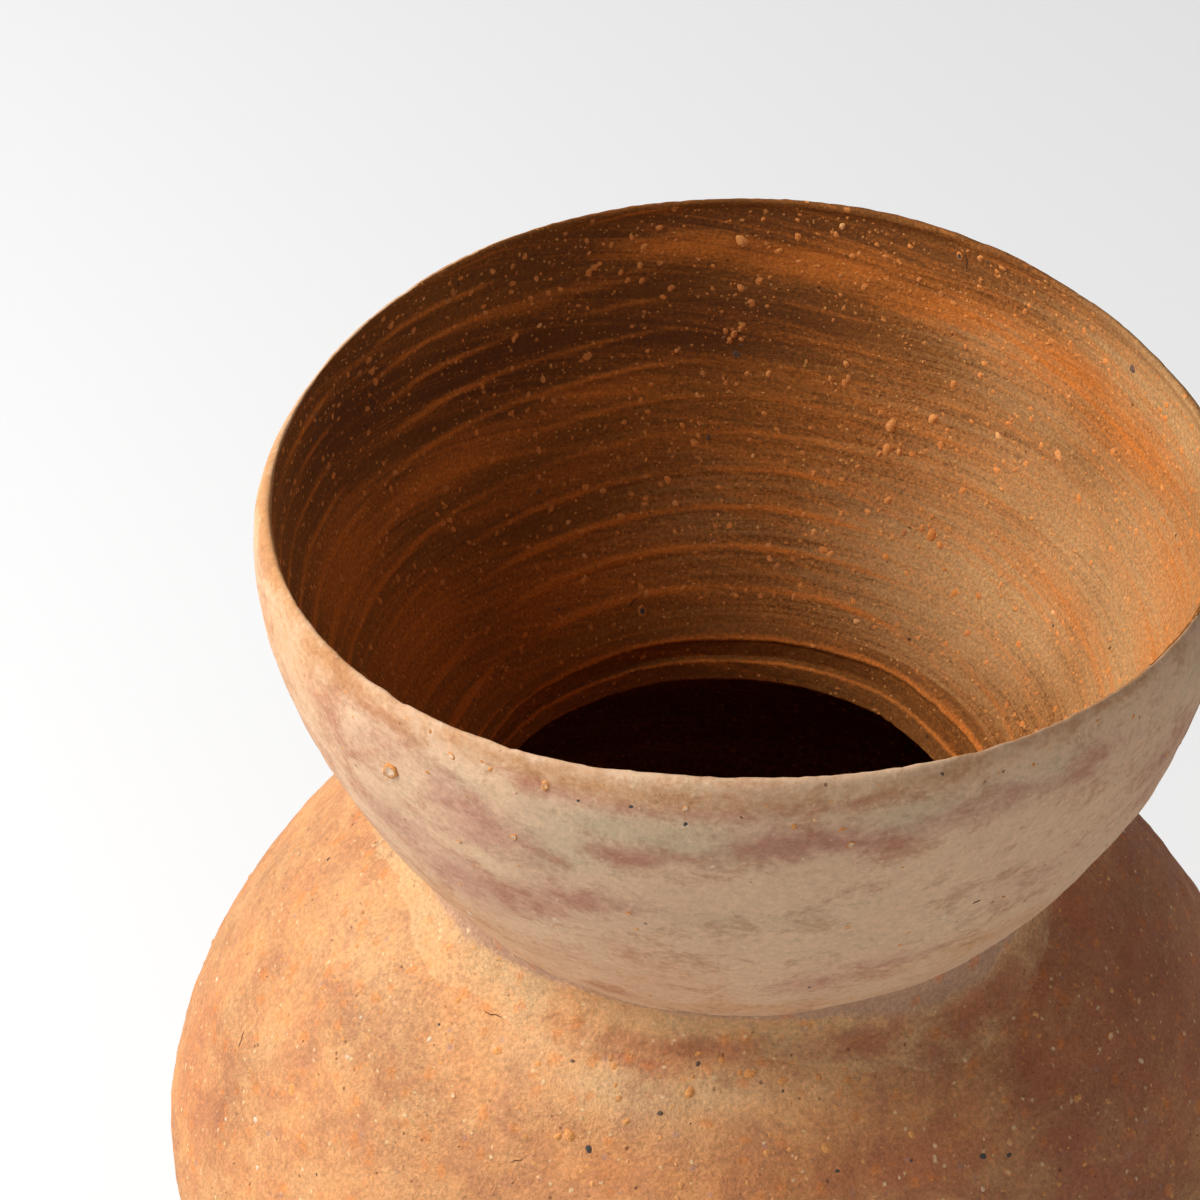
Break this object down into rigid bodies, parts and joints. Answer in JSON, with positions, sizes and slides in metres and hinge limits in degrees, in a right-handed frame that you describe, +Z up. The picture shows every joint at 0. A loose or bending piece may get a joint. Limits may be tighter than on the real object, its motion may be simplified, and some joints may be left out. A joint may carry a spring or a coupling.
{
  "type": "vase",
  "caption": "Unglazed stoneware vase: a round jar with a narrow throat and a deep flared mouth bowl, standing on a flat foot.",
  "frame": {"origin": "centre of the flat foot, on the surface that the vase stands on", "axes": "+Z up along the axis that the vase is turned about; +Y away from the picture's viewer, +X to the right"},
  "size_m": [0.202, 0.202, 0.24],
  "materials": {
    "jar_clay": "matte unglazed stoneware, orange to red-brown, speckled with stones",
    "seam_clay": "matte unglazed stoneware, smeared by hand",
    "bowl_clay": "matte unglazed stoneware, beige with red streaks outside and brown inside"
  },
  "bodies": {
    "root": {"base_slab": "jar_clay", "base_coil": "seam_clay", "lower_wall": "jar_clay", "belly_coil": "seam_clay", "shoulder_wall": "jar_clay", "neck_band": "seam_clay", "throat_coil": "seam_clay", "throat_collar": "seam_clay", "mouth_bowl": "bowl_clay"}
  },
  "joints": []
}
